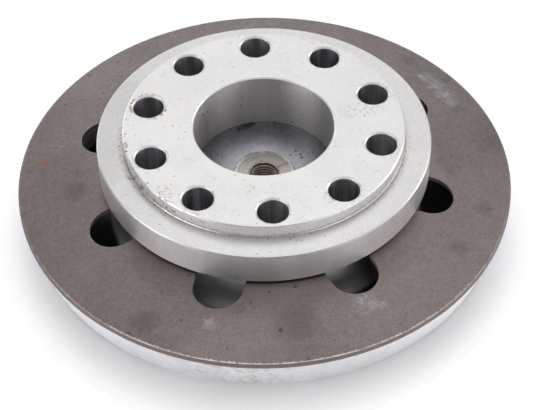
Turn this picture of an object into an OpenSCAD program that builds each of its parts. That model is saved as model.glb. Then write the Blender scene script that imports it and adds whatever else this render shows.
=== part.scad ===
// Bolt-on flywheel: an aluminium hub and rim dish with a coned steel disc held between them.
// Millimetres. The origin is on the axis, on the plane that the rim stands on, and +Z is up.
// A bolt hole of the hub lies on +X.

/* [Coned disc] */
// Outer diameter of the disc
disc_d = 210; // [200:1:220]
// Sheet thickness of the disc, measured straight up
disc_t = 2; // [1.5:0.1:2.5]
// Angle at which the disc rises towards the axis, in degrees
disc_cone_angle = 9.2; // [8:0.1:9.5]
// Height of the disc's top face at its outer edge
disc_edge_z = 19.5; // [19:0.1:21]
// Number of slots
slot_count = 8; // [6:1:8]
// Width of a slot
slot_w = 20.7; // [16:0.1:22]
// Distance from the axis to the centre of a slot's round end
slot_end_r = 71.3; // [70:0.1:74]
// Turn of the slots away from the bolt hole on +X, in degrees
slot_turn = -1.2; // [-4:0.1:4]

/* [Hub] */
// Outer diameter of the flange
flange_d = 140; // [136:1:142]
// Thickness of the flange at its ledge
flange_t = 14; // [12:0.1:16]
// Height of the flange's underside
flange_z = 28.5; // [28.2:0.1:29.5]
// Diameter of the raised boss on the flange
boss_d = 118; // [116:1:124]
// Height of the boss above the ledge
boss_h = 5.9; // [3:0.1:8]
// Diameter of the neck under the flange
neck_d = 124; // [122:1:124]
// Diameter of the central bore
bore_d = 59; // [50:1:64]
// Height of the bore's floor at its wall
bore_floor_z = 23; // [20:0.1:26]
// How much lower the bore's floor is at the bush than at the wall
floor_fall = 2.2; // [0.5:0.1:4]

/* [Bolt circle] */
// Number of bolt holes
bolt_count = 10; // [10]
// Diameter of the circle through the bolt holes
bolt_pcd = 100; // [98:0.5:102]
// Diameter of a bolt hole
bolt_hole_d = 13; // [11:0.1:13.5]

/* [Centre bush] */
// Outer diameter of the bush
bush_d = 25; // [22:0.1:28]
// Diameter of the tapped hole at its thread crests
tapped_d = 10.38; // [8:0.01:14]

/* [Rim dish] */
// Diameter of the rim where it stands on a surface
rim_foot_d = 197.2; // [190:0.1:200]
// Diameter of the rim's inner wall
rim_inner_d = 176; // [170:1:180]
// Height of the web's top face
web_top_z = 6; // [5:0.1:7]
// Height of the pad that the hub stands on
pad_z = 12; // [11.5:0.1:13]
// Depth of the hollow under the dish
foot_recess = 1.2; // [0.8:0.1:2]

/* [Hub screws] */
// Number of screws that hold the dish to the hub
screw_count = 5; // [5]
// Thread diameter of a screw
screw_d = 6; // [5:1:6]
// Length of a screw under its head
screw_len = 16; // [12:1:18]
// Number of dowel pins
dowel_count = 2; // [2]
// Diameter of a dowel pin
dowel_d = 6; // [5:1:6]

/* [Hidden] */
$fn = 180;

edge = 0.5;                                   // small chamfer on turned edges
cut = 1;                                      // how far a cutting tool runs past a face
cone_rise = tan(disc_cone_angle);             // height gained for each millimetre towards the axis

flange_top_z = flange_z + flange_t;
boss_top_z = flange_top_z + boss_h;
corner_r = 0.6;                               // fillet where the boss meets the ledge
bolt_step = 360 / bolt_count;
bolt_chamfer = 0.6;

disc_gap = 0.3;                               // clearance between the disc and the neck
clamp_ring_w = 4;                             // radial width of the clamp ring
clamp_ring_in_r = neck_d / 2 + disc_gap;

bush_top_z = bore_floor_z - floor_fall;
bush_edge = 0.4;                              // chamfer on the bush and on its seat
bush_mouth = 1.1;                             // countersink at each end of the tapped hole

web_fillet = pad_z - web_top_z;               // fillet from the pad and the rim into the web
rim_edge_gap = 0.3;                           // how far the rim's top edge stays inside the disc's edge
rim_foot_w = 9;                               // width of the ring that the rim stands on
rim_foot_edge = 0.8;                          // chamfer round the foot

washer_d = 11;
washer_t = 1.6;
head_d = 10;
head_h = 4;                                   // low socket head
head_recess = 0.4;                            // how far a head stays inside its counterbore
counterbore_d = 12;
counterbore_top_z = foot_recess + head_recess + head_h + washer_t;
socket_af = 4;                                // width across the flats of the hexagon socket
socket_depth = 2.4;
screw_clear_d = screw_d + 0.6;
screw_hole_end_z = counterbore_top_z - washer_t + screw_len + 1.5;
dowel_low_z = pad_z - 6;
dowel_high_z = pad_z + 8;

// Height of the disc's top face at a distance r from the axis
function disc_top(r) = disc_edge_z + (disc_d / 2 - r) * cone_rise;

// Height of the disc's lower face at a distance r from the axis
function disc_under(r) = disc_top(r) - disc_t;

// Points along a quarter circle from angle a to angle a + turn
function arc(cx, cy, r, a, turn, steps = 8) =
    [for (i = [0 : steps]) [cx + r * cos(a + turn * i / steps), cy + r * sin(a + turn * i / steps)]];

// Places copies around the axis at radius r, the first at angle start
module around(count, r, start = 0, step = 0) {
    turn = step > 0 ? step : 360 / count;
    for (i = [0 : count - 1])
        rotate(start + i * turn)
            translate([r, 0, 0])
                children();
}

// Round hole from z0 to z1 with a chamfer at its upper mouth
module hole_down(d, z0, z1, chamfer) {
    translate([0, 0, z0 - cut])
        cylinder(d = d, h = z1 - z0 + 2 * cut);
    translate([0, 0, z1 - chamfer])
        cylinder(d1 = d, d2 = d + 2 * (chamfer + cut), h = chamfer + cut);
}

// Chamfer at a hole's lower mouth, which opens downwards at height z
module mouth_below(d, z, chamfer) {
    translate([0, 0, z - cut])
        cylinder(d1 = d + 2 * (chamfer + cut), d2 = d, h = chamfer + cut);
}

// Places children where the hub screws are, midway between bolt holes
module at_screws() {
    around(screw_count, bolt_pcd / 2, bolt_step / 2, 2 * bolt_step) children();
}

// Places children where the dowel pins are, in two of the gaps that hold no screw
module at_dowels() {
    around(dowel_count, bolt_pcd / 2, 1.5 * bolt_step, 4 * bolt_step) children();
}

// Turned section of the hub: neck, flange, fillet and boss
module hub_section() {
    polygon(concat(
        [
            [0, pad_z],
            [neck_d / 2, pad_z],
            [neck_d / 2, flange_z],
            [flange_d / 2 - edge, flange_z],
            [flange_d / 2, flange_z + edge],
            [flange_d / 2, flange_top_z - edge],
            [flange_d / 2 - edge, flange_top_z]
        ],
        arc(boss_d / 2 + corner_r, flange_top_z + corner_r, corner_r, 270, -90),
        [
            [boss_d / 2, boss_top_z - edge],
            [boss_d / 2 - edge, boss_top_z],
            [0, boss_top_z]
        ]
    ));
}

// Section cut out for the bore: its floor slopes down to the bush, and its mouth is chamfered
module bore_section() {
    polygon([
        [0, bush_top_z],
        [bush_d / 2, bush_top_z],
        [bore_d / 2, bore_floor_z],
        [bore_d / 2, boss_top_z - edge],
        [bore_d / 2 + edge + cut, boss_top_z + cut],
        [0, boss_top_z + cut]
    ]);
}

// Turned hub with its bore, bolt holes and the blind holes that open in its lower face
module hub() {
    color("gainsboro")
        difference() {
            rotate_extrude() hub_section();
            rotate_extrude() bore_section();
            hole_down(bush_d, pad_z, bush_top_z, bush_edge);
            around(bolt_count, bolt_pcd / 2)
                hole_down(bolt_hole_d, pad_z, boss_top_z, bolt_chamfer);
            at_screws()
                translate([0, 0, pad_z - cut])
                    cylinder(d = screw_d, h = screw_hole_end_z - pad_z + cut);
            at_dowels()
                translate([0, 0, pad_z - cut])
                    cylinder(d = dowel_d, h = dowel_high_z - pad_z + cut);
        }
}

// Steel bush through the floor of the hub and the pad of the dish, tapped from end to end
module centre_bush() {
    color("darkgray")
        difference() {
            union() {
                translate([0, 0, foot_recess])
                    cylinder(d = bush_d, h = bush_top_z - foot_recess - bush_edge);
                translate([0, 0, bush_top_z - bush_edge])
                    cylinder(d1 = bush_d, d2 = bush_d - 2 * bush_edge, h = bush_edge);
            }
            hole_down(tapped_d, foot_recess, bush_top_z, bush_mouth);
            mouth_below(tapped_d, foot_recess, bush_mouth);
        }
}

// Steel ring between the flange's underside and the disc, with a coned lower face
module clamp_ring() {
    r0 = clamp_ring_in_r;
    r1 = clamp_ring_in_r + clamp_ring_w;
    color("dimgray")
        rotate_extrude()
            polygon([[r0, disc_top(r0)], [r1, disc_top(r1)], [r1, flange_z], [r0, flange_z]]);
}

// Slot with a round outer end, cut straight down and open towards the neck
module slot_cutter() {
    translate([slot_end_r, 0, 0])
        cylinder(d = slot_w, h = flange_z);
    translate([0, -slot_w / 2, 0])
        cube([slot_end_r, slot_w, flange_z]);
}

// Coned disc with its slots, which leave wide tongues under the flange
module coned_disc() {
    r0 = neck_d / 2 + disc_gap;
    r1 = disc_d / 2;
    color("dimgray")
        difference() {
            rotate_extrude()
                polygon([
                    [r0, disc_under(r0)],
                    [r1, disc_under(r1)],
                    [r1, disc_top(r1) - edge / 2],
                    [r1 - edge / 2, disc_top(r1 - edge / 2)],
                    [r0, disc_top(r0)]
                ]);
            for (i = [0 : slot_count - 1])
                rotate(slot_turn + i * 360 / slot_count)
                    slot_cutter();
        }
}

// Turned section of the dish, from the pad out over the web to the tapered rim and its foot
module dish_section() {
    foot_r = rim_foot_d / 2;
    foot_in_r = foot_r - rim_foot_w;
    seat_r = disc_d / 2 - rim_edge_gap;
    wall_r = rim_inner_d / 2;
    polygon(concat(
        [
            [0, foot_recess],
            [foot_in_r - foot_recess, foot_recess],
            [foot_in_r, 0],
            [foot_r, 0],
            [foot_r + rim_foot_edge, rim_foot_edge],
            [seat_r, disc_under(seat_r) - edge],
            [seat_r - edge / 2, disc_under(seat_r - edge / 2)],
            [wall_r, disc_under(wall_r)]
        ],
        arc(wall_r - web_fillet, web_top_z + web_fillet, web_fillet, 0, -90),
        arc(neck_d / 2 + web_fillet, web_top_z + web_fillet, web_fillet, 270, -90),
        [[0, pad_z]]
    ));
}

// Turned dish: pad, web and rim, with the bolt holes and the counterbored screw holes
module rim_dish() {
    color("lightgray")
        difference() {
            rotate_extrude() dish_section();
            translate([0, 0, -cut])
                cylinder(d = bush_d, h = pad_z + 2 * cut);
            mouth_below(bush_d, foot_recess, bush_edge);
            around(bolt_count, bolt_pcd / 2) {
                translate([0, 0, -cut])
                    cylinder(d = bolt_hole_d, h = pad_z + 2 * cut);
                mouth_below(bolt_hole_d, foot_recess, bolt_chamfer);
            }
            at_screws() {
                translate([0, 0, -cut])
                    cylinder(d = counterbore_d, h = counterbore_top_z + cut);
                translate([0, 0, -cut])
                    cylinder(d = screw_clear_d, h = pad_z + 2 * cut);
            }
            at_dowels()
                translate([0, 0, dowel_low_z])
                    cylinder(d = dowel_d, h = pad_z - dowel_low_z + cut);
        }
}

// Low-head socket screws, with their heads down in the counterbores
module hub_screws() {
    head_top_z = counterbore_top_z - washer_t;
    head_low_z = head_top_z - head_h;
    color("#303030")
        at_screws()
            difference() {
                union() {
                    translate([0, 0, head_top_z])
                        cylinder(d = screw_d, h = screw_len);
                    translate([0, 0, head_low_z + edge])
                        cylinder(d = head_d, h = head_h - edge);
                    translate([0, 0, head_low_z])
                        cylinder(d1 = head_d - 2 * edge, d2 = head_d, h = edge);
                }
                translate([0, 0, head_low_z - cut])
                    cylinder(d = socket_af / cos(30), h = socket_depth + cut, $fn = 6);
            }
}

// Washers between the screw heads and the aluminium
module screw_washers() {
    color("silver")
        at_screws()
            translate([0, 0, counterbore_top_z - washer_t])
                difference() {
                    cylinder(d = washer_d, h = washer_t);
                    translate([0, 0, -cut])
                        cylinder(d = screw_clear_d, h = washer_t + 2 * cut);
                }
}

// Dowel pins that line up the hub and the dish
module dowel_pins() {
    color("silver")
        at_dowels()
            translate([0, 0, dowel_low_z])
                cylinder(d = dowel_d, h = dowel_high_z - dowel_low_z);
}

hub();
centre_bush();
clamp_ring();
coned_disc();
rim_dish();
hub_screws();
screw_washers();
dowel_pins();
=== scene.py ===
"""Looks of a bolt-on flywheel: turned aluminium hub and rim dish, dark coned steel disc, tapped steel bush.

Everything is in metres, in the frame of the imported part: the axis is Z, the rim stands on z = 0, and a bolt
hole of the hub lies on +X.
"""
import functools
import math
from types import SimpleNamespace

import bmesh
import bpy
from mathutils import Matrix, Vector


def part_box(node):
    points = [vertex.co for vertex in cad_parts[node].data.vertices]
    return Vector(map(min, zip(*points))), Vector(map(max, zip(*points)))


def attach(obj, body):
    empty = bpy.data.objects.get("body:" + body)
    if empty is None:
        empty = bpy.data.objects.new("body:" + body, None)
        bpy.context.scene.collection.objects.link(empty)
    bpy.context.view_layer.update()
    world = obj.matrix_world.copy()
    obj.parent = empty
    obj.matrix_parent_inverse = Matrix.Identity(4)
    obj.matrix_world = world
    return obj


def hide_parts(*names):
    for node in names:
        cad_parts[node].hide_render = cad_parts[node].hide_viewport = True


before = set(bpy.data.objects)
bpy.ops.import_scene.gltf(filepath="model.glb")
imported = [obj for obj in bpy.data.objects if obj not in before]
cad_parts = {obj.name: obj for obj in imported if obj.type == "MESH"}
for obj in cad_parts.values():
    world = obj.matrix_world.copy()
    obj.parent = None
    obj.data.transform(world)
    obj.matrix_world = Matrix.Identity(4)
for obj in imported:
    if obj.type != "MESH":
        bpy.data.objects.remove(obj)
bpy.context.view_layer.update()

MM = 0.001

# The photograph's view: where the camera stands around the object, in degrees, and what it aims at.
CAMERA_AZIMUTH = 284.31
CAMERA_ELEVATION = 45.65
CAMERA_ROLL = 0.85
CAMERA_DISTANCE = 736.9 * MM
CAMERA_LENS = 118.26
SENSOR_WIDTH = 36.0
AIM_NEARER = 18.4 * MM      # from the axis towards the camera
AIM_RIGHT = 0.7 * MM        # from the axis to the camera's right
AIM_HEIGHT = 19.5 * MM

# Radii and heights that the materials follow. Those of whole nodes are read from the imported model.
FLANGE_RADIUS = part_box("hub")[1].x
DISC_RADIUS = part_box("coned_disc")[1].x
BUSH_LOW, BUSH_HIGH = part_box("centre_bush")
BUSH_RADIUS = BUSH_HIGH.x
BOSS_RADIUS = 59 * MM
LEDGE_HEIGHT = 42.5 * MM
FLANGE_LOW = 28.5 * MM      # the flange's underside
NECK_RADIUS = 62 * MM
BORE_RADIUS = 29.5 * MM
BORE_FLOOR = 23 * MM        # height of the bore's floor at its wall
BOLT_CIRCLE = 50 * MM       # radius of the circle that the bolt holes lie on
BOLT_COUNT = 10
BOLT_RADIUS = 6.5 * MM
PAD_FOOT = 68 * MM          # the dish's web is level from the foot of its pad
WEB_EDGE = 83 * MM          # to about here, where it starts to rise to the rim
HOLLOW_RADIUS = 88.3 * MM   # the dish's hollow lies inside this radius
HAIR = 0.1 * MM             # how far past its radius a face still counts

# How much of a face's normal points upwards, from 0 on a wall to 1 on a level face.
WALL_BELOW = 0.3
LEVEL_ABOVE = 0.9

# Thread of the bush, M12 x 1.5, as a real helix.
THREAD_PITCH = 1.5 * MM
THREAD_CREST = 5.19 * MM
THREAD_DEPTH = 0.81 * MM
THREAD_MOUTH = 1.1 * MM     # countersink at each end
CREST_SHARE = 0.25          # of the way from the crest's middle to the root's middle, the flat crest
FLANK_SHARE = 0.62          # and the flank after it
BUSH_EDGE = 0.4 * MM        # chamfer round the face
BUSH_SEGMENTS = 96
ROWS_PER_TURN = 8
SHARP_ANGLE = math.radians(35.0)

# Marks: bearing from the camera in degrees, radius and size in millimetres.
BOSS_SCUFFS = ((103, 45, 9), (101, 38, 7), (-9, 38, 6), (-46, 56, 9), (-30, 55, 6), (30, 52, 6))
RUSTY_HOLE = ((-108, 55, 13), (-99, 44, 9))
BORE_DIRT = ((-123, 23, 8), (122, 20, 7), (-149, 18, 4))
BORE_SMUDGE = ((-169, 28.6, 2.2), (-165, 28, 2.4), (-161, 27.4, 2.8), (-157, 27.4, 2.4))
RUST_SPOTS = (
    (-94, 94, 2.2), (-94, 97, 1.4), (-88.5, 84.5, 1.9), (-120, 94, 1.2), (-115, 98, 1.1), (-100, 91.5, 1.1),
    (-47, 104, 1.5), (-70, 100, 1.0), (-104, 88, 1.0), (-132, 90, 0.9),
)
RUBBED_PATCHES = (
    (-160, 84, 8), (-149, 86, 5), (27.5, 86.5, 6), (31, 90, 3), (-14.5, 88.5, 3.5),
    (129, 94, 5), (124.5, 94.5, 6), (120, 94, 6), (116, 93, 4),
)
DARK_PATCHES = (
    (-81.5, 81, 7), (60, 92, 6), (-30, 96, 8), (8, 88, 13), (-8, 79.5, 3), (137, 97, 6), (114, 94, 5),
    (125, 101, 4), (92, 75, 4), (88, 80, 5), (75, 94.5, 5),
)
BROWN_SPOTS = (
    (3.5, 89.5, 1.3), (-31.5, 103.5, 1.2), (8.8, 103.8, 1.0), (-18.5, 104.5, 0.9), (-4.6, 77, 0.8),
    (-22, 90, 0.8),
)

# Steel pieces under the flange and in the dish: node, material, metal, stain and roughness.
PLAIN_METALS = (
    ("clamp_ring", "ring_steel", (0.12, 0.11, 0.11), (0.09, 0.05, 0.03), 0.5),
    ("hub_screws", "screw_steel", (0.03, 0.03, 0.032), (0.07, 0.05, 0.04), 0.4),
    ("screw_washers", "washer_steel", (0.6, 0.6, 0.58), (0.3, 0.26, 0.22), 0.35),
    ("dowel_pins", "pin_steel", (0.6, 0.6, 0.6), (0.35, 0.31, 0.28), 0.25),
)


def bearing(degrees):
    """Unit vector along the floor, at an angle counted from the camera's own azimuth."""
    angle = math.radians(CAMERA_AZIMUTH + degrees)
    return Vector((math.cos(angle), math.sin(angle), 0.0))


# ---------------------------------------------------------------- node graphs

def with_alpha(colour):
    """A colour of three numbers, with the fourth that an input takes. A socket is passed on as it is."""
    return (*colour, 1.0) if isinstance(colour, tuple) else colour


class Graph:
    """Builds one node material with short calls. A value given to an input is a number, tuple or socket."""

    def __init__(self, name):
        self.material = bpy.data.materials.new(name)
        self.material.use_nodes = True
        self.nodes = self.material.node_tree.nodes
        self.links = self.material.node_tree.links
        self.nodes.clear()

    def feed(self, socket, value):
        if isinstance(value, bpy.types.NodeSocket):
            self.links.new(value, socket)
        else:
            socket.default_value = value

    def node(self, kind, inputs=None, **settings):
        made = self.nodes.new("ShaderNode" + kind)
        for name, value in settings.items():
            setattr(made, name, value)
        for name, value in (inputs or {}).items():
            self.feed(made.inputs[name], value)
        return made

    def math(self, operation, a, b=0.0, c=0.0, clamp=False):
        made = self.node("Math", {0: a, 1: b, 2: c}, operation=operation, use_clamp=clamp)
        return made.outputs[0]

    def product(self, *values):
        return functools.reduce(lambda a, b: self.math("MULTIPLY", a, b), values)

    def total(self, *values):
        return functools.reduce(lambda a, b: self.math("ADD", a, b), values)

    def vector(self, operation, a, b=(0.0, 0.0, 0.0)):
        return self.node("VectorMath", {0: a, 1: b}, operation=operation).outputs[0]

    def scaled(self, a, factor):
        return self.node("VectorMath", {0: a, "Scale": factor}, operation="SCALE").outputs[0]

    def combine(self, x, y, z):
        return self.node("CombineXYZ", {0: x, 1: y, 2: z}).outputs[0]

    def remap(self, value, low, high, to_low=0.0, to_high=1.0, smooth=True):
        kind = "SMOOTHSTEP" if smooth else "LINEAR"
        inputs = {"Value": value, "From Min": low, "From Max": high, "To Min": to_low, "To Max": to_high}
        return self.node("MapRange", inputs, interpolation_type=kind).outputs[0]

    def vary(self, noise, low, high):
        """Spreads a noise over a range. Most of a noise lies between 0.3 and 0.7."""
        return self.remap(noise, 0.3, 0.7, low, high)

    def band(self, value, low, high, soft):
        """1 between low and high, with soft edges outside them."""
        rise = self.remap(value, low - soft, low)
        fall = self.remap(value, high, high + soft, 1.0, 0.0)
        return self.math("MULTIPLY", rise, fall)

    def noise(self, vector, scale, detail=3.0, roughness=0.55, distortion=0.0):
        inputs = {"Vector": vector, "Scale": scale, "Detail": detail, "Roughness": roughness,
                  "Distortion": distortion}
        return self.node("TexNoise", inputs).outputs["Fac"]

    def wander(self, vector, scale, detail):
        """A direction that changes from place to place, by up to about half a unit each way."""
        colour = self.node("TexNoise", {"Vector": vector, "Scale": scale, "Detail": detail}).outputs["Color"]
        return self.vector("SUBTRACT", colour, (0.5, 0.5, 0.5))

    def mix(self, factor, a, b):
        made = self.node("Mix", data_type="RGBA", blend_type="MIX")
        self.feed(made.inputs[0], factor)
        self.feed(made.inputs[6], with_alpha(a))
        self.feed(made.inputs[7], with_alpha(b))
        return made.outputs[2]

    def cover(self, below, colour, *amounts):
        """Lays a colour over another one by the product of the amounts."""
        return self.mix(self.product(*amounts), below, colour)

    def tint(self, colour, factor):
        """Multiplies a colour by a grey value."""
        made = self.node("Mix", data_type="RGBA", blend_type="MULTIPLY")
        made.inputs[0].default_value = 1.0
        self.feed(made.inputs[6], with_alpha(colour))
        self.feed(made.inputs[7], self.combine(factor, factor, factor))
        return made.outputs[2]

    def bump(self, height, strength, distance, normal=None):
        inputs = {"Height": height, "Strength": strength, "Distance": distance}
        if normal is not None:
            inputs["Normal"] = normal
        return self.node("Bump", inputs).outputs[0]

    def place(self):
        """Sets the coordinates that the materials use, in metres, and how far upwards the surface faces."""
        self.position = self.node("TexCoord").outputs["Object"]
        x, y, self.height = self.node("SeparateXYZ", {0: self.position}).outputs
        self.flat = self.combine(x, y, 0.0)
        self.radius = self.node("VectorMath", {0: self.flat}, operation="LENGTH").outputs["Value"]
        self.direction = self.vector("NORMALIZE", self.flat)
        self.heading = self.math("ARCTAN2", y, x)
        normal = self.node("NewGeometry").outputs["True Normal"]
        self.upward = self.node("SeparateXYZ", {0: normal}).outputs[2]

    def across_marks(self):
        """Direction across the turning marks: upwards on walls, and outwards on flat faces."""
        return self.vector("ADD", self.scaled(self.direction, 0.05), (0.0, 0.0, 1.0))

    def ring_noise(self, pitch, around=0.35):
        """Noise in rings, as a lathe tool leaves them: pitch between rings, and change around them."""
        along = self.math("DIVIDE", self.math("ADD", self.radius, self.height), pitch)
        vector = self.vector("ADD", self.scaled(self.direction, around), self.combine(0.0, 0.0, along))
        return self.noise(vector, 1.0, 2.0, 0.6)

    def wall_streaks(self, count, low, high):
        """Soft upright bands on a turned wall, count of them in about a radian."""
        return self.vary(self.noise(self.scaled(self.direction, count), 1.0, 3.0, 0.6), low, high)

    def hole_distance(self):
        """Distance from the nearest bolt hole's centre."""
        half = math.pi / BOLT_COUNT
        folded = self.math("WRAP", self.heading, half, -half)
        outward = self.math("MULTIPLY", self.radius, self.math("COSINE", folded))
        x = self.math("SUBTRACT", outward, BOLT_CIRCLE)
        y = self.math("MULTIPLY", self.radius, self.math("SINE", folded))
        return self.math("SQRT", self.total(self.product(x, x), self.product(y, y)))

    def near_bearing(self, turn, spread):
        """1 at a bearing from the camera, falling to 0 at spread degrees from it."""
        away = self.math("SUBTRACT", self.heading, math.radians(CAMERA_AZIMUTH + turn))
        away = self.math("ABSOLUTE", self.math("WRAP", away, math.pi, -math.pi))
        return self.remap(away, 0.0, math.radians(spread), 1.0, 0.0)

    def spots(self, places, ragged):
        """Patches with ragged outlines at (bearing, radius, size) places, in degrees and millimetres."""
        warp = self.scaled(self.wander(self.position, 420.0, 3.0), ragged)
        moved = self.vector("ADD", self.flat, self.vector("MULTIPLY", warp, (1.0, 1.0, 0.0)))
        strongest = 0.0
        for turn, radius, size in places:
            centre = bearing(turn) * (radius * MM)
            away = self.node("VectorMath", {0: moved, 1: centre}, operation="DISTANCE").outputs["Value"]
            patch = self.remap(away, 0.25 * size * MM, size * MM, 1.0, 0.0)
            strongest = self.math("MAXIMUM", patch, strongest)
        return strongest

    def specks(self, spacing, size, share, jitter=0.5):
        """Scattered ragged dots, by cell spacing, the largest dot's size and the share of cells with one."""
        warp = self.wander(self.position, 1.5 / spacing, 2.0)
        moved = self.vector("ADD", self.position, self.scaled(warp, size * jitter))
        found = self.node("TexVoronoi", {"Vector": moved, "Scale": 1.0 / spacing}, feature="F1")
        lot = self.node("SeparateColor", {0: found.outputs["Color"]})
        reach = self.math("MULTIPLY", lot.outputs[1], size / spacing)
        dot = self.remap(found.outputs["Distance"], self.math("MULTIPLY", reach, 0.35), reach, 1.0, 0.0)
        chosen = self.math("LESS_THAN", lot.outputs[0], share)
        return self.math("MULTIPLY", dot, chosen)

    def finish(self, colour, metallic, roughness, normal=None, anisotropic=0.0, tangent=None):
        shader = self.node("BsdfPrincipled")
        self.feed(shader.inputs["Base Color"], with_alpha(colour))
        self.feed(shader.inputs["Metallic"], metallic)
        self.feed(shader.inputs["Roughness"], roughness)
        shader.inputs["Anisotropic"].default_value = anisotropic
        if tangent is not None:
            self.feed(shader.inputs["Tangent"], tangent)
        if normal is not None:
            self.feed(shader.inputs["Normal"], normal)
        output = self.node("OutputMaterial")
        self.links.new(shader.outputs[0], output.inputs[0])
        return self.material


# ---------------------------------------------------------------- materials

def hub_faces(g):
    """Masks that are 1 on one kind of face, or one region, of the hub and 0 elsewhere."""
    on = SimpleNamespace()
    on.wall = g.math("LESS_THAN", g.math("ABSOLUTE", g.upward), WALL_BELOW)
    on.above_ledge = g.math("GREATER_THAN", g.height, LEDGE_HEIGHT - 1 * MM)
    on.lapped = g.product(g.math("GREATER_THAN", g.upward, LEVEL_ABOVE), on.above_ledge)
    on.ledge = g.product(on.lapped, g.math("GREATER_THAN", g.radius, BOSS_RADIUS + HAIR))
    on.boss_face = g.math("SUBTRACT", on.lapped, on.ledge)
    on.boss_wall = g.product(on.wall, on.above_ledge,
                             g.band(g.radius, BOSS_RADIUS - 0.5 * MM, BOSS_RADIUS + HAIR, HAIR))
    on.chamfer = g.product(g.band(g.upward, 0.5, 0.85, 0.05), on.above_ledge)
    on.outer_chamfer = g.product(on.chamfer, g.math("GREATER_THAN", g.radius, BOSS_RADIUS - 1 * MM))
    on.inner_chamfer = g.math("SUBTRACT", on.chamfer, on.outer_chamfer, clamp=True)
    on.boss_foot = g.product(g.math("LESS_THAN", g.height, LEDGE_HEIGHT + 1.6 * MM), on.above_ledge)
    on.fillet = g.product(g.band(g.upward, 0.15, 0.92, 0.03), on.boss_foot)
    on.neck = g.product(on.wall, g.math("LESS_THAN", g.height, FLANGE_LOW - 1.5 * MM),
                        g.math("GREATER_THAN", g.radius, NECK_RADIUS - 1 * MM))
    on.flange_wall = g.product(on.wall, g.math("GREATER_THAN", g.radius, FLANGE_RADIUS - 0.5 * MM))
    on.hole_wall = g.product(on.wall, g.math("LESS_THAN", g.from_hole, BOLT_RADIUS + 0.05 * MM))
    on.bore = g.math("LESS_THAN", g.radius, BORE_RADIUS + HAIR)
    on.bore_floor = g.product(on.bore, g.math("GREATER_THAN", g.upward, 0.5),
                              g.math("LESS_THAN", g.height, BORE_FLOOR + 7 * MM))
    on.bore_wall = g.math("SUBTRACT", on.bore, on.bore_floor, clamp=True)
    return on


def hub_metal(g, on):
    """The aluminium of each face, dulled where the photograph shows it darker than the light leaves it."""
    colour = g.mix(on.lapped, (0.92, 0.885, 0.905), (0.86, 0.85, 0.845))
    colour = g.mix(on.bore, colour, (0.86, 0.83, 0.835))
    inner = g.remap(g.radius, 15 * MM, 27 * MM, 1.0, 0.0)
    colour = g.mix(on.bore_floor, colour, g.mix(inner, (0.21, 0.21, 0.225), (0.37, 0.37, 0.405)))
    colour = g.mix(on.boss_wall, colour, (1.0, 0.965, 1.0))
    colour = g.mix(on.chamfer, colour, (0.99, 0.99, 1.0))
    # painted shade on the boss's outer chamfer at the right
    colour = g.cover(colour, (0.50, 0.49, 0.48), on.outer_chamfer, g.near_bearing(85, 60), 0.95)
    colour = g.mix(on.neck, colour, (1.0, 0.98, 0.98))
    # painted shade on the neck in the front right slot, and brown-grey painted shade on it in the far right
    # slot
    colour = g.cover(colour, (0.16, 0.155, 0.16), on.neck, g.near_bearing(44, 11), 0.9)    # front right slot
    colour = g.cover(colour, (0.27, 0.22, 0.20), on.neck, g.near_bearing(108, 22), 0.9)    # far right slot

    # painted shade, partly a faint grey smudge, on the flange's front, heavier lower down, and upright
    # streaks in the bolt holes
    front = g.math("ADD", g.near_bearing(-3, 20), g.near_bearing(17, 12), clamp=True)
    colour = g.cover(colour, (0.5, 0.48, 0.49), on.flange_wall, front,
                     g.remap(g.height, FLANGE_LOW, LEDGE_HEIGHT, 0.85, 0.5, smooth=False))
    upright = g.remap(g.noise(g.flat, 260.0, 2.0, 0.5), 0.35, 0.65, 0.6, 1.15)
    colour = g.mix(on.hole_wall, colour, g.tint((0.90, 0.88, 0.93), upright))

    value = g.total(
        g.vary(g.cloud, 0.97, 1.02),
        g.vary(g.fine, -0.025, 0.025),
        g.product(on.ledge, g.remap(g.grain, 0.35, 0.65, -0.09, 0.04)),
        # painted shade: the ledge a little darker all round, and most at the left
        g.product(on.ledge, g.remap(g.near_bearing(-95, 70), 0.0, 1.0, -0.07, -0.18)),
        g.product(on.boss_face, g.remap(g.grain, 0.35, 0.65, -0.04, 0.015)),
    )
    streaks = g.remap(on.wall, 0.0, 1.0, 1.0, g.wall_streaks(9.0, 0.96, 1.03), smooth=False)
    return g.tint(colour, g.product(value, streaks))


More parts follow.
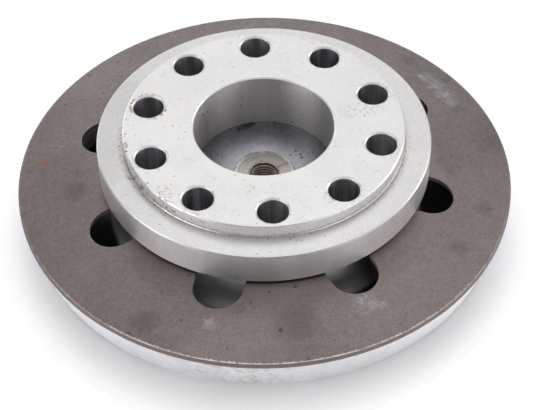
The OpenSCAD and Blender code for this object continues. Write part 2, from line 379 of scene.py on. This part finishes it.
def hub_wear(g, on, colour):
    """Dots, hair lines, scuffs and stained hole edges on the boss's face, and dark dashes along its edge."""
    dots = g.specks(2.2 * MM, 0.75 * MM, 0.4, 1.8)
    colour = g.cover(colour, (0.42, 0.37, 0.33), dots, on.lapped, g.remap(g.cloud, 0.4, 0.6, 0.25, 0.8))
    hairs = g.noise(g.position, 70.0, 4.0, 0.7, 1.5)
    hairs = g.remap(g.math("ABSOLUTE", g.math("SUBTRACT", hairs, 0.5)), 0.002, 0.008, 1.0, 0.0)
    some = g.remap(g.noise(g.position, 160.0, 2.0), 0.52, 0.6)
    colour = g.cover(colour, (0.5, 0.45, 0.41), hairs, some, on.boss_face, 0.55)
    scuffs = g.spots(BOSS_SCUFFS, 7 * MM)
    colour = g.cover(colour, (0.5, 0.445, 0.40), scuffs, on.boss_face, g.remap(g.fine, 0.48, 0.66), 0.55)
    ring = g.band(g.from_hole, BOLT_RADIUS + 0.5 * MM, BOLT_RADIUS + 0.9 * MM, 0.35 * MM)
    colour = g.cover(colour, (0.5, 0.46, 0.43), ring, on.boss_face, g.remap(g.fine, 0.45, 0.6, 0.05, 0.7))
    rusty_ring = g.band(g.from_hole, BOLT_RADIUS - 0.2 * MM, BOLT_RADIUS + 1.3 * MM, 0.9 * MM)
    colour = g.cover(colour, (0.30, 0.17, 0.09), rusty_ring, g.spots(RUSTY_HOLE, 3 * MM), on.boss_face,
                     g.remap(g.fine, 0.45, 0.6), 0.9)
    boss_edge = g.band(g.radius, BOSS_RADIUS - 1.6 * MM, BOSS_RADIUS, 0.5 * MM)
    dashes = g.remap(g.noise(g.position, 380.0, 3.0, 0.7), 0.56, 0.62)
    leftwards = g.math("ADD", g.near_bearing(-60, 60), 0.15, clamp=True)
    return g.cover(colour, (0.20, 0.14, 0.10), boss_edge, on.above_ledge, dashes, leftwards, 0.85)


def ledge_grime(g, on, colour):
    """Grime in the corner between boss and ledge, painted shade over the fillet except at the left, and nicks
    on the flange's edge.
    """
    corner = g.product(g.band(g.radius, BOSS_RADIUS, BOSS_RADIUS + 1.0 * MM, 2.2 * MM), on.boss_foot)
    patchy = g.total(g.near_bearing(-75, 70), g.product(g.near_bearing(80, 50), 0.7))
    patchy = g.math("ADD", patchy, g.remap(g.cloud, 0.45, 0.6, 0.15, 0.5), clamp=True)
    colour = g.cover(colour, (0.5, 0.45, 0.42), corner, g.remap(g.grain, 0.4, 0.6), patchy, 0.6)
    blots = g.specks(1.1 * MM, 0.85 * MM, 0.45, 1.2)
    colour = g.cover(colour, (0.13, 0.10, 0.08), corner, blots, patchy, 0.9)
    seam = g.product(g.band(g.radius, BOSS_RADIUS, BOSS_RADIUS + 0.5 * MM, 0.3 * MM), on.boss_foot)
    colour = g.cover(colour, (0.45, 0.37, 0.32), seam, g.remap(g.fine, 0.4, 0.6, 0.0, 0.5))
    # painted shade over the fillet's highlight, heavier everywhere but at the left
    fillet_painted_shade = g.remap(g.near_bearing(-65, 55), 0.0, 1.0, 0.75, 0.1)
    colour = g.cover(colour, (0.50, 0.485, 0.48), on.fillet, fillet_painted_shade)
    flange_edge = g.band(g.radius, FLANGE_RADIUS - 1.0 * MM, FLANGE_RADIUS, 0.4 * MM)
    nicks = g.specks(4.0 * MM, 1.6 * MM, 0.45, 1.0)
    worn_side = g.math("ADD", g.near_bearing(153, 14), g.remap(g.cloud, 0.5, 0.62, 0.0, 0.7), clamp=True)
    return g.cover(colour, (0.16, 0.11, 0.08), flange_edge, nicks, on.above_ledge, worn_side, 0.9)


def bore_marks(g, on, pits, colour):
    """Pits in the bore, smudges and brown specks on its floor, and rust in the bright gap round the bush."""
    colour = g.cover(colour, (0.02, 0.018, 0.015), pits, on.bore, 0.9)
    brown = g.specks(1.7 * MM, 1.05 * MM, 0.65, 1.4)
    dirty = g.math("ADD", g.spots(BORE_DIRT, 3 * MM), 0.25, clamp=True)
    colour = g.cover(colour, (0.09, 0.06, 0.045), brown, on.bore_floor, dirty, 0.9)
    mottle = g.remap(g.noise(g.position, 520.0, 3.0, 0.65), 0.35, 0.65, 0.0, 0.5)
    outwards = g.remap(g.radius, 15 * MM, 24 * MM, 0.3, 1.0)
    colour = g.cover(colour, (0.15, 0.145, 0.155), mottle, on.bore_floor, outwards)
    smudge = g.spots(BORE_SMUDGE, 2 * MM)
    colour = g.cover(colour, (0.05, 0.05, 0.055), smudge, on.bore_floor, 0.85)
    blotches = g.remap(g.noise(g.position, 110.0, 4.0, 0.65), 0.5, 0.68)
    colour = g.cover(colour, (0.24, 0.235, 0.25), blotches, on.bore_floor, 0.75)
    round_bush = g.band(g.radius, BUSH_RADIUS - HAIR, BUSH_RADIUS + 0.3 * MM, 0.15 * MM)
    gap = g.product(round_bush, on.bore_floor)
    colour = g.cover(colour, (0.88, 0.85, 0.83), gap, g.remap(g.cloud, 0.3, 0.6, 0.5, 1.0))
    return g.cover(colour, (0.13, 0.075, 0.04), gap, g.remap(g.fine, 0.48, 0.6, 0.0, 0.8))


def hub_aluminium():
    """Lapped faces and edges scatter light evenly, and turned walls draw it out across their marks."""
    g = Graph("hub_aluminium")
    g.place()
    g.cloud = g.noise(g.position, 45.0, 4.0, 0.6)
    g.fine = g.noise(g.position, 700.0, 3.0, 0.6)
    g.grain = g.noise(g.position, 2600.0, 2.0, 0.6)
    g.from_hole = g.hole_distance()
    on = hub_faces(g)
    pits = g.specks(4.2 * MM, 0.8 * MM, 0.5)
    colour = hub_metal(g, on)
    colour = hub_wear(g, on, colour)
    colour = ledge_grime(g, on, colour)
    colour = bore_marks(g, on, pits, colour)

    even = g.math("MAXIMUM", on.lapped, on.chamfer)
    tangent = g.node("Mix", data_type="VECTOR")
    g.feed(tangent.inputs[0], g.math("MAXIMUM", even, on.fillet))
    g.feed(tangent.inputs[4], g.across_marks())
    g.feed(tangent.inputs[5], g.wander(g.position, 9000.0, 1.0))
    roughness = g.total(
        g.remap(even, 0.0, 1.0, 0.32, 0.5), g.vary(g.fine, -0.03, 0.03),
        g.product(on.boss_wall, -0.16), g.product(on.chamfer, -0.15),
        g.product(on.bore_wall, 0.1), g.product(on.neck, 0.15),
    )
    metallic = g.total(
        g.remap(g.math("MAXIMUM", on.lapped, on.boss_wall), 0.0, 1.0, 1.0, 0.82),
        g.product(on.neck, -0.6), g.product(on.neck, g.near_bearing(28, 9), -0.4),
        g.product(on.inner_chamfer, -0.4), g.product(on.flange_wall, -0.05),
    )
    normal = g.bump(g.ring_noise(0.35 * MM), 0.1, 0.02 * MM)
    normal = g.bump(g.math("SUBTRACT", g.grain, g.product(pits, 4.0)), 0.12, 0.05 * MM, normal)
    return g.finish(colour, metallic, roughness, normal, 0.7, tangent.outputs[1])


def disc_marks(g, on, colour):
    """Patches rubbed bluish along the turning, darker stains, specks, and rust, most of it on the left."""
    streaked = g.vary(g.ring_noise(2.4 * MM, 9.0), 0.0, 1.0)
    rubbed = g.spots(RUBBED_PATCHES, 6 * MM)
    colour = g.cover(colour, (0.41, 0.42, 0.45), rubbed, g.remap(streaked, 0.0, 1.0, 0.5, 0.9),
                     g.remap(g.fine, 0.35, 0.6, 0.25, 1.0))
    colour = g.cover(colour, (0.12, 0.10, 0.095), on.dark, g.remap(g.fine, 0.42, 0.6, 0.08, 0.22))
    small = g.specks(1.8 * MM, 0.75 * MM, 0.35, 1.6)
    colour = g.cover(colour, (0.12, 0.075, 0.055), small, g.remap(g.cloud, 0.4, 0.6, 0.15, 0.55))
    large = g.specks(4.6 * MM, 0.9 * MM, 0.2, 2.2)
    colour = g.cover(colour, (0.12, 0.07, 0.05), large, g.remap(g.cloud, 0.4, 0.6, 0.2, 0.75))
    light = g.specks(2.9 * MM, 0.8 * MM, 0.3, 1.0)
    colour = g.cover(colour, (0.40, 0.36, 0.35), light, 0.35)
    leftwards = g.math("ADD", g.near_bearing(-105, 60), 0.12, clamp=True)
    colour = g.cover(colour, (0.25, 0.11, 0.07), on.rust, leftwards, 0.6)
    colour = g.cover(colour, (0.33, 0.13, 0.08), g.spots(RUST_SPOTS, 2.4 * MM), 0.85)
    return g.cover(colour, (0.12, 0.065, 0.05), g.spots(BROWN_SPOTS, 1.4 * MM), 0.8)


def disc_steel():
    """Dark rolled steel with painted light beside the flange, and an outer edge worn bright, with a painted
    highlight at the front, above a darker wall.
    """
    g = Graph("disc_steel")
    g.place()
    broad = g.noise(g.position, 16.0, 3.0, 0.6)
    g.cloud = g.noise(g.position, 60.0, 5.0, 0.65)
    g.fine = g.noise(g.position, 420.0, 4.0, 0.65)
    grain = g.noise(g.position, 1300.0, 3.0, 0.7)
    rings = g.ring_noise(2.2 * MM, 2.5)
    on = SimpleNamespace(rust=g.specks(5.5 * MM, 1.6 * MM, 0.4, 1.4), dark=g.spots(DARK_PATCHES, 10 * MM))
    painted_light_beside_front = g.remap(g.radius, FLANGE_RADIUS, FLANGE_RADIUS + 14 * MM, 0.24, 0.0)
    value = g.total(
        g.remap(broad, 0.35, 0.65, 0.90, 1.10),
        g.vary(g.cloud, -0.09, 0.09),
        g.vary(g.fine, -0.08, 0.08),
        g.vary(rings, -0.025, 0.025),
        g.vary(grain, -0.14, 0.14),
        # painted light beside the flange against its shade, all round and more at the front
        g.remap(g.radius, FLANGE_RADIUS - 1 * MM, FLANGE_RADIUS + 9 * MM, 0.22, 0.0),
        g.product(painted_light_beside_front, g.near_bearing(5, 60)),
    )
    colour = g.mix(g.remap(g.cloud, 0.35, 0.65), (0.250, 0.212, 0.201), (0.236, 0.208, 0.205))
    colour = disc_marks(g, on, g.tint(colour, value))

    level = g.math("GREATER_THAN", g.upward, LEVEL_ABOVE)
    outer_wall = g.product(g.math("LESS_THAN", g.upward, LEVEL_ABOVE),
                           g.math("GREATER_THAN", g.radius, DISC_RADIUS - 0.6 * MM))
    colour = g.cover(colour, (0.165, 0.135, 0.125), outer_wall, g.remap(g.fine, 0.35, 0.6, 0.5, 0.9))
    wavering = g.math("ADD", g.radius, g.vary(grain, -0.3 * MM, 0.3 * MM))
    # the edge is worn bright, with a painted highlight that makes it brightest at the front
    edge = g.product(g.remap(wavering, DISC_RADIUS - 1.1 * MM, DISC_RADIUS - 0.6 * MM),
                     g.math("ADD", g.near_bearing(0, 85), 0.12, clamp=True), level)
    colour = g.cover(colour, (0.90, 0.84, 0.82), edge, g.remap(g.fine, 0.35, 0.6, 0.35, 0.95),
                     g.remap(g.cloud, 0.35, 0.6, 0.6, 1.0))

    # painted shade: a dark band in the narrow gap under the flange
    painted_shade_under_flange = g.remap(g.radius, FLANGE_RADIUS - 2.4 * MM, FLANGE_RADIUS - 1.1 * MM, 1.0, 0.0)
    colour = g.cover(colour, (0.015, 0.012, 0.011), painted_shade_under_flange, 0.95)
    metallic = g.total(0.7, g.product(edge, 0.2))
    stained = g.math("MAXIMUM", on.rust, on.dark)
    roughness = g.total(g.vary(g.cloud, 0.5, 0.6), g.product(stained, 0.15))
    normal = g.bump(g.fine, 0.2, 0.06 * MM)
    normal = g.bump(rings, 0.15, 0.04 * MM, normal)
    return g.finish(colour, metallic, roughness, normal)


def dish_aluminium():
    """Turned aluminium: bright on the rim outside, and painted with shade in the hollow that shows through
    the slots.
    """
    g = Graph("dish_aluminium")
    g.place()
    cloud = g.noise(g.position, 55.0, 4.0, 0.6)
    fine = g.noise(g.position, 500.0, 4.0, 0.6)
    above_foot = g.math("GREATER_THAN", g.height, 2 * MM)
    inside = g.product(g.math("LESS_THAN", g.radius, HOLLOW_RADIUS), above_foot)
    outside = g.math("SUBTRACT", 1.0, inside)
    # painted shade: the web dark and its rise to the rim grey, in the hollow under the disc
    web = g.mix(g.band(g.radius, PAD_FOOT, WEB_EDGE, 2 * MM), (0.98, 0.97, 0.99), (0.17, 0.165, 0.165))
    web = g.mix(g.remap(g.radius, WEB_EDGE, WEB_EDGE + 3 * MM), web, (0.38, 0.375, 0.375))
    # more painted shade on the web in the front right slot
    web = g.cover(web, (0.16, 0.155, 0.16), g.near_bearing(43, 9), 0.85)   # in the front right slot
    colour = g.mix(inside, (0.91, 0.90, 0.92), web)
    value = g.total(g.vary(fine, 0.95, 1.02), g.vary(cloud, -0.03, 0.03))
    colour = g.tint(colour, g.product(value, g.wall_streaks(12.0, 0.97, 1.03)))
    marks = g.specks(5.0 * MM, 1.6 * MM, 0.35, 1.4)
    colour = g.cover(colour, (0.40, 0.33, 0.28), marks, outside, g.remap(cloud, 0.45, 0.6, 0.1, 0.7))
    side = g.product(outside, g.math("GREATER_THAN", g.height, 1.5 * MM))
    smears = g.remap(g.noise(g.position, 330.0, 4.0, 0.75), 0.5, 0.62)
    colour = g.cover(colour, (0.48, 0.42, 0.38), smears, side, g.near_bearing(-8, 22), 0.5)
    under_disc = g.band(g.height, 15.5 * MM, 18.0 * MM, 0.8 * MM)
    stain = g.remap(g.noise(g.position, 120.0, 4.0, 0.7), 0.48, 0.66)
    colour = g.cover(colour, (0.45, 0.41, 0.38), under_disc, outside, stain, 0.5)
    pad_side = g.product(inside, g.remap(g.radius, PAD_FOOT - 1 * MM, PAD_FOOT + 1 * MM, 1.0, 0.0))
    roughness = g.total(g.vary(fine, 0.33, 0.42), g.product(pad_side, 0.1))
    metallic = g.total(g.remap(inside, 0.0, 1.0, 0.88, 1.0), g.product(pad_side, -0.6))
    normal = g.bump(g.ring_noise(0.4 * MM), 0.1, 0.02 * MM)
    return g.finish(colour, metallic, roughness, normal, 0.6, g.across_marks())


def bush_steel():
    """Turned steel with a bright chamfer and a painted dark reflection line on the face, brown at the lip and
    black in the thread.
    """
    g = Graph("bush_steel")
    g.place()
    cloud = g.noise(g.position, 220.0, 4.0, 0.6)
    fine = g.noise(g.position, 900.0, 4.0, 0.65)
    rings = g.ring_noise(0.25 * MM)
    colour = g.tint((0.37, 0.35, 0.33), g.vary(rings, 0.92, 1.08))
    colour = g.tint(colour, g.vary(fine, 0.93, 1.06))
    # painted reflection: a dark radial line on the face at the right
    painted_dark_reflection = g.near_bearing(118, 9)
    colour = g.cover(colour, (0.15, 0.14, 0.135), painted_dark_reflection, g.remap(g.radius, 5 * MM, 9 * MM, 0.9, 0.5))
    chamfer = g.band(g.radius, BUSH_RADIUS - 0.5 * MM, BUSH_RADIUS, 0.12 * MM)
    colour = g.cover(colour, (0.95, 0.93, 0.90), chamfer, g.remap(cloud, 0.3, 0.55, 0.5, 1.0))
    root = THREAD_CREST + THREAD_DEPTH
    mouth_radius = THREAD_CREST + THREAD_MOUTH
    lip = g.band(g.radius, 0.0, mouth_radius + HAIR, 0.7 * MM)
    colour = g.cover(colour, (0.22, 0.14, 0.085), lip, g.remap(cloud, 0.38, 0.58, 0.0, 0.8))
    mouth = g.band(g.radius, root - HAIR, mouth_radius, HAIR)
    colour = g.cover(colour, (0.95, 0.88, 0.84), mouth, g.remap(cloud, 0.44, 0.58, 0.1, 0.95))
    in_thread = g.math("LESS_THAN", g.radius, root)
    groove = g.remap(g.radius, THREAD_CREST + HAIR, root)
    colour = g.cover(colour, (0.70, 0.58, 0.47), in_thread, g.math("SUBTRACT", 1.0, groove),
                     g.remap(cloud, 0.35, 0.6, 0.5, 0.95))
    colour = g.cover(colour, (0.02, 0.012, 0.008), in_thread, groove, 0.95)
    stains = g.specks(1.6 * MM, 1.1 * MM, 0.4, 1.3)
    colour = g.cover(colour, (0.15, 0.09, 0.05), stains, g.remap(cloud, 0.45, 0.6, 0.0, 0.8))
    roughness = g.total(g.vary(fine, 0.28, 0.38), g.product(lip, 0.12))
    return g.finish(colour, 1.0, roughness, g.bump(rings, 0.15, 0.03 * MM), 0.4, g.across_marks())


def plain_metal(name, colour, stain_colour, roughness):
    """Turned or blackened steel with light staining."""
    g = Graph(name)
    g.place()
    cloud = g.noise(g.position, 180.0, 4.0, 0.6)
    fine = g.noise(g.position, 900.0, 4.0, 0.6)
    toned = g.tint(colour, g.vary(fine, 0.9, 1.08))
    toned = g.cover(toned, stain_colour, g.specks(1.5 * MM, 0.9 * MM, 0.5, 1.3), 0.6)
    toned = g.cover(toned, stain_colour, g.remap(cloud, 0.5, 0.7), 0.5)
    rough = g.vary(fine, roughness - 0.06, roughness + 0.06)
    normal = g.bump(g.ring_noise(0.3 * MM), 0.12, 0.02 * MM)
    return g.finish(toned, 1.0, rough, normal, 0.4, g.across_marks())


def floor_material():
    return Graph("pale_floor").finish((0.86, 0.86, 0.87), 0.0, 0.9)


# ---------------------------------------------------------------- light, floor and camera

# Studio light: soft panels all round. Each has its bearing from the camera, its half width, the elevations at
# which it begins, is full and ends, all in degrees, and its brightness.
PANELS = (
    ("low front right", 52.0, 36.0, -120.0, 5.0, 40.0, 5.3),
    ("low right", 105.0, 36.0, -120.0, 5.0, 30.0, 5.4),
    ("low back", 200.0, 48.0, -120.0, 5.0, 30.0, 3.4),
    ("low left", 300.0, 34.0, -120.0, 5.0, 40.0, 7.2),
    ("high back", 180.0, 50.0, 30.0, 55.0, 90.0, 3.3),
    ("high right", 135.0, 45.0, 30.0, 55.0, 90.0, 0.6),
    ("high left", 270.0, 45.0, 30.0, 55.0, 90.0, 0.5),
    ("high front", 0.0, 34.0, 28.0, 47.0, 66.0, 0.6),
    ("overhead", 0.0, 720.0, 55.0, 90.0, 290.0, 0.83),
)
ROOM_LIGHT = 0.05           # what the room gives where there is no panel
FLOOR_LAMP_POWER = 10.8
FLOOR_LAMP_SIZE = 1.6
FLOOR_LAMP_HEIGHT = 1.15
FLOOR_LAMP_BACK = 0.3       # from the axis, away from the camera
FLOOR_REACH = 6.0           # from the axis to the middle of each edge


def make_world():
    world = bpy.data.worlds.new("studio")
    bpy.context.scene.world = world
    world.use_nodes = True
    nodes, links = world.node_tree.nodes, world.node_tree.links

    def calculate(operation, a, b=0.0, c=0.0, clamp=False):
        made = nodes.new("ShaderNodeMath")
        made.operation = operation
        made.use_clamp = clamp
        for socket, value in zip(made.inputs, (a, b, c)):
            if isinstance(value, bpy.types.NodeSocket):
                links.new(value, socket)
            else:
                socket.default_value = value
        return made.outputs[0]

    def ramp(value, start, full):
        """0 at start and 1 at full, in degrees."""
        span = math.radians(full - start)
        return calculate("DIVIDE", calculate("SUBTRACT", value, math.radians(start)), span, clamp=True)

    coordinates = nodes.new("ShaderNodeTexCoord")
    split = nodes.new("ShaderNodeSeparateXYZ")
    links.new(coordinates.outputs["Generated"], split.inputs[0])
    x, y, z = split.outputs
    level = calculate("ARCSINE", calculate("MINIMUM", calculate("MAXIMUM", z, -1.0), 1.0))
    heading = calculate("ARCTAN2", y, x)
    total = ROOM_LIGHT
    for _, turn, spread, begins, full, ends, brightness in PANELS:
        away = calculate("SUBTRACT", heading, math.radians(CAMERA_AZIMUTH + turn))
        away = calculate("ABSOLUTE", calculate("WRAP", away, math.pi, -math.pi))
        side = ramp(away, spread, 0.0)
        height = calculate("MULTIPLY", ramp(level, begins, full), ramp(level, ends, full))
        panel = calculate("MULTIPLY", calculate("MULTIPLY", side, height), brightness)
        total = calculate("ADD", panel, total)
    seen = nodes.new("ShaderNodeLightPath").outputs["Is Camera Ray"]
    total = calculate("ADD", calculate("MULTIPLY", total, calculate("SUBTRACT", 1.0, seen)), seen)
    links.new(total, nodes["Background"].inputs["Strength"])
    nodes["Background"].inputs["Color"].default_value = (1.0, 1.0, 1.0, 1.0)


def make_floor():
    mesh = bpy.data.meshes.new("floor")
    corners = [(x * FLOOR_REACH, y * FLOOR_REACH, 0) for x, y in ((-1, -1), (1, -1), (1, 1), (-1, 1))]
    mesh.from_pydata(corners, [], [(0, 1, 2, 3)])
    floor = bpy.data.objects.new("floor", mesh)
    bpy.context.scene.collection.objects.link(floor)
    mesh.materials.append(floor_material())
    return floor


def light_floor(floor):
    """A lamp above and behind that lights only the floor, which is white with the object's shadow on it."""
    light = bpy.data.lights.new("floor_lamp", "AREA")
    light.shape = "DISK"
    light.size = FLOOR_LAMP_SIZE
    light.energy = FLOOR_LAMP_POWER
    lamp = bpy.data.objects.new("floor_lamp", light)
    bpy.context.scene.collection.objects.link(lamp)
    place = bearing(180.0) * FLOOR_LAMP_BACK + Vector((0.0, 0.0, FLOOR_LAMP_HEIGHT))
    lamp.location = place
    lamp.rotation_euler = (-place).to_track_quat("-Z", "Y").to_euler()
    only_floor = bpy.data.collections.new("lit_by_floor_lamp")
    only_floor.objects.link(floor)
    lamp.light_linking.receiver_collection = only_floor


def make_camera():
    camera = bpy.data.cameras.new("camera")
    camera.lens = CAMERA_LENS
    camera.sensor_fit = "HORIZONTAL"
    camera.sensor_width = SENSOR_WIDTH
    eye = bpy.data.objects.new("camera", camera)
    bpy.context.scene.collection.objects.link(eye)
    outward = bearing(0.0)
    level_right = bearing(90.0)
    rise = math.radians(CAMERA_ELEVATION)
    back = outward * math.cos(rise) + Vector((0.0, 0.0, math.sin(rise)))
    level_up = back.cross(level_right)
    roll = math.radians(CAMERA_ROLL)
    right = level_right * math.cos(roll) - level_up * math.sin(roll)
    up = level_right * math.sin(roll) + level_up * math.cos(roll)
    aim = outward * AIM_NEARER + level_right * AIM_RIGHT + Vector((0.0, 0.0, AIM_HEIGHT))
    turn = Matrix((right, up, back)).transposed().to_4x4()
    eye.matrix_world = Matrix.Translation(aim + back * CAMERA_DISTANCE) @ turn
    bpy.context.scene.camera = eye


def thread_radius(angle, height):
    """Radius of the tapped hole's wall: flat crests and roots joined by straight flanks, along a helix."""
    turns = height / THREAD_PITCH - angle / math.tau
    crest_to_root = abs(2.0 * (turns - math.floor(turns)) - 1.0)
    rise = min(max((crest_to_root - CREST_SHARE) / FLANK_SHARE, 0.0), 1.0)
    return THREAD_CREST + THREAD_DEPTH * rise


def make_threaded_bush(material):
    """The bush with its thread cut as a helix, in place of the plain-bored one."""
    low, high = BUSH_LOW.z, BUSH_HIGH.z
    mouth = THREAD_CREST + THREAD_MOUTH
    rows = math.ceil((high - low) / THREAD_PITCH * ROWS_PER_TURN)
    angles = [math.tau * step / BUSH_SEGMENTS for step in range(BUSH_SEGMENTS)]
    outline = (
        (mouth, low), (BUSH_RADIUS, low), (BUSH_RADIUS, high - BUSH_EDGE), (BUSH_RADIUS - BUSH_EDGE, high),
    )
    rings = [([radius] * BUSH_SEGMENTS, height) for radius, height in outline]
    for row in range(rows):
        height = high - (high - low) * row / rows
        countersink = mouth - min(high - height, height - low)
        rings.append(([max(thread_radius(angle, height), countersink) for angle in angles], height))
    mesh = bmesh.new()
    loops = [
        [mesh.verts.new((radius * math.cos(angle), radius * math.sin(angle), height))
         for radius, angle in zip(radii, angles)]
        for radii, height in rings
    ]
    for upper, lower in zip(loops, loops[1:] + loops[:1]):
        for step in range(BUSH_SEGMENTS):
            after = (step + 1) % BUSH_SEGMENTS
            mesh.faces.new((upper[step], upper[after], lower[after], lower[step]))
    bmesh.ops.recalc_face_normals(mesh, faces=mesh.faces)
    for face in mesh.faces:
        face.smooth = True
    for edge in mesh.edges:
        edge.smooth = edge.calc_face_angle() < SHARP_ANGLE
    data = bpy.data.meshes.new("threaded_bush")
    mesh.to_mesh(data)
    mesh.free()
    data.materials.append(material)
    bush = bpy.data.objects.new("threaded_bush", data)
    bpy.context.scene.collection.objects.link(bush)
    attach(bush, "root")
    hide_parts("centre_bush")


def paint(node, material):
    """Gives a carried CAD node its material."""
    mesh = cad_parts[node].data
    mesh.materials.clear()
    mesh.materials.append(material)


make_camera()
make_world()
light_floor(make_floor())

paint("hub", hub_aluminium())
paint("coned_disc", disc_steel())
paint("rim_dish", dish_aluminium())
for node, name, metal, stain, roughness in PLAIN_METALS:
    paint(node, plain_metal(name, metal, stain, roughness))
make_threaded_bush(bush_steel())

bpy.context.scene.view_settings.view_transform = "Standard"
